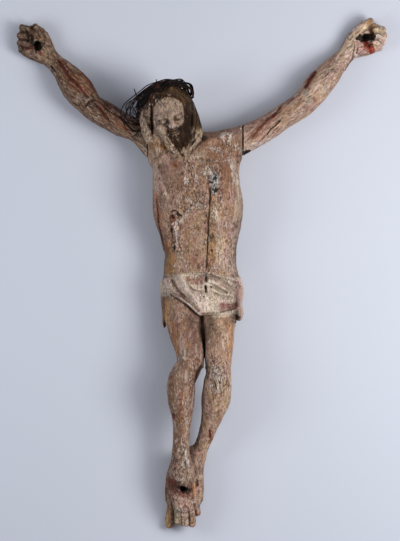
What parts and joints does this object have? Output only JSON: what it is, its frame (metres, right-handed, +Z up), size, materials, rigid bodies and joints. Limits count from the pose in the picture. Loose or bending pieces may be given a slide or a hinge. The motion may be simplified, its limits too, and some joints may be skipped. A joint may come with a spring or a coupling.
{
  "type": "crucifix corpus figure",
  "caption": "Carved wooden figure with spread arms and crossed feet, worn paint, loincloth and a wire crown, lying on its back.",
  "frame": {"origin": "under the middle of the figure as it lies on its back, on the surface it lies on", "axes": "+Y to the head, +X to the figure's left hand, +Z up, out of the chest"},
  "size_m": [0.7436, 1.0252, 0.1584],
  "materials": {
    "carved_wood": "old carved softwood with worn flesh paint, chalk ground showing in flakes, bare orange-brown grain, cracks and dark red wounds",
    "carved_wood_arms": "the same worn paint over wood, with brown and dark red streaks along the grain and blood round the nail holes",
    "iron_wire": "thin blackened iron wire with a little rust"
  },
  "bodies": {
    "root": {"body": "carved_wood", "right_arm": "carved_wood_arms", "left_arm": "carved_wood_arms", "crown_of_thorns": "iron_wire"}
  },
  "joints": []
}
